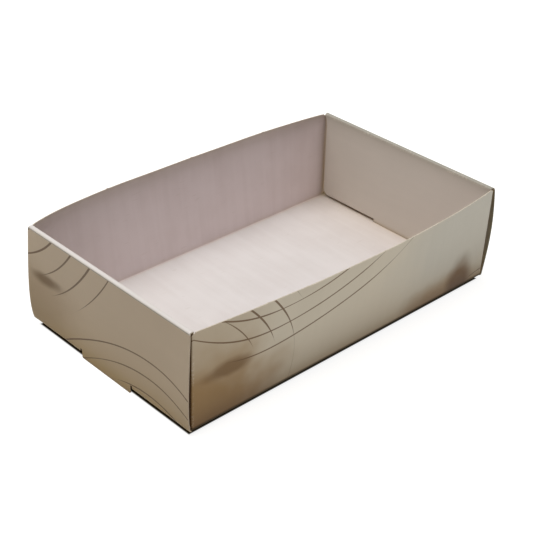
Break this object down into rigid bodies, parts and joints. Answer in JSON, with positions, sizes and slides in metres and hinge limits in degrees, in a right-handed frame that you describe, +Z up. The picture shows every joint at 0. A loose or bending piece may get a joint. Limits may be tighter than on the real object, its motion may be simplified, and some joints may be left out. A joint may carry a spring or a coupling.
{
  "type": "cake box tray",
  "caption": "Open, lidless cake box tray folded from one sheet of card, with bowed long walls, corner flaps and roll-over double ends whose creases all unfold to the flat blank.",
  "frame": {"origin": "centre of the bounding box's bottom, on the plane that the two feet stand on", "axes": "+X along the tray's length, towards the right end; +Y across its width, towards the back wall; +Z up"},
  "size_m": [0.24, 0.1568, 0.0654],
  "materials": {
    "card_outside": "satin",
    "card_rolled_end": "satin",
    "card_inside": "matte",
    "card_flap": "matte"
  },
  "bodies": {
    "base": {"base_panel": "card_inside"},
    "front_wall": {"front_wall": "card_outside"},
    "back_wall": {"back_wall": "card_outside"},
    "front_left_flap": {"front_left_flap": "card_flap"},
    "front_right_flap": {"front_right_flap": "card_flap"},
    "back_left_flap": {"back_left_flap": "card_flap"},
    "back_right_flap": {"back_right_flap": "card_flap"},
    "left_end_outer": {"left_end_outer": "card_outside"},
    "left_rim": {"left_rim": "card_rolled_end"},
    "left_end_inner": {"left_end_inner": "card_rolled_end"},
    "right_end_outer": {"right_end_outer": "card_outside"},
    "right_rim": {"right_rim": "card_rolled_end"},
    "right_end_inner": {"right_end_inner": "card_rolled_end"}
  },
  "joints": [
    {"name": "front_wall_crease", "type": "hinge", "parent": "base", "child": "front_wall", "pos_m": [0, -0.07, 0.0034], "axis": [1, 0, 0], "range_deg": [0, 84]},
    {"name": "back_wall_crease", "type": "hinge", "parent": "base", "child": "back_wall", "pos_m": [0, 0.07, 0.0034], "axis": [-1, 0, 0], "range_deg": [0, 84]},
    {"name": "left_end_crease", "type": "hinge", "parent": "base", "child": "left_end_outer", "pos_m": [-0.12, 0, 0.0034], "axis": [0, -1, 0], "range_deg": [0, 90]},
    {"name": "left_rim_outer_crease", "type": "hinge", "parent": "left_end_outer", "child": "left_rim", "pos_m": [-0.12, 0, 0.0654], "axis": [0, -1, 0], "range_deg": [0, 90]},
    {"name": "left_rim_inner_crease", "type": "hinge", "parent": "left_rim", "child": "left_end_inner", "pos_m": [-0.1168, 0, 0.0654], "axis": [0, -1, 0], "range_deg": [0, 90]},
    {"name": "right_end_crease", "type": "hinge", "parent": "base", "child": "right_end_outer", "pos_m": [0.12, 0, 0.0034], "axis": [0, 1, 0], "range_deg": [0, 90]},
    {"name": "right_rim_outer_crease", "type": "hinge", "parent": "right_end_outer", "child": "right_rim", "pos_m": [0.12, 0, 0.0654], "axis": [0, 1, 0], "range_deg": [0, 90]},
    {"name": "right_rim_inner_crease", "type": "hinge", "parent": "right_rim", "child": "right_end_inner", "pos_m": [0.1168, 0, 0.0654], "axis": [0, 1, 0], "range_deg": [0, 90]},
    {"name": "front_left_flap_crease", "type": "hinge", "parent": "front_wall", "child": "front_left_flap", "pos_m": [-0.1187, -0.07, 0.0344], "axis": [0, 0, 1], "range_deg": [0, 90]},
    {"name": "front_right_flap_crease", "type": "hinge", "parent": "front_wall", "child": "front_right_flap", "pos_m": [0.1187, -0.07, 0.0344], "axis": [0, 0, -1], "range_deg": [0, 90]},
    {"name": "back_left_flap_crease", "type": "hinge", "parent": "back_wall", "child": "back_left_flap", "pos_m": [-0.1187, 0.07, 0.0344], "axis": [0, 0, -1], "range_deg": [0, 90]},
    {"name": "back_right_flap_crease", "type": "hinge", "parent": "back_wall", "child": "back_right_flap", "pos_m": [0.1187, 0.07, 0.0344], "axis": [0, 0, 1], "range_deg": [0, 90]}
  ],
  "couplings": [
    {"joint": "left_rim_outer_crease", "follows": "left_end_crease", "ratio": 1},
    {"joint": "left_rim_inner_crease", "follows": "left_end_crease", "ratio": 1},
    {"joint": "front_left_flap_crease", "follows": "left_end_crease", "ratio": 1},
    {"joint": "back_left_flap_crease", "follows": "left_end_crease", "ratio": 1},
    {"joint": "right_rim_outer_crease", "follows": "right_end_crease", "ratio": 1},
    {"joint": "right_rim_inner_crease", "follows": "right_end_crease", "ratio": 1},
    {"joint": "front_right_flap_crease", "follows": "right_end_crease", "ratio": 1},
    {"joint": "back_right_flap_crease", "follows": "right_end_crease", "ratio": 1}
  ]
}
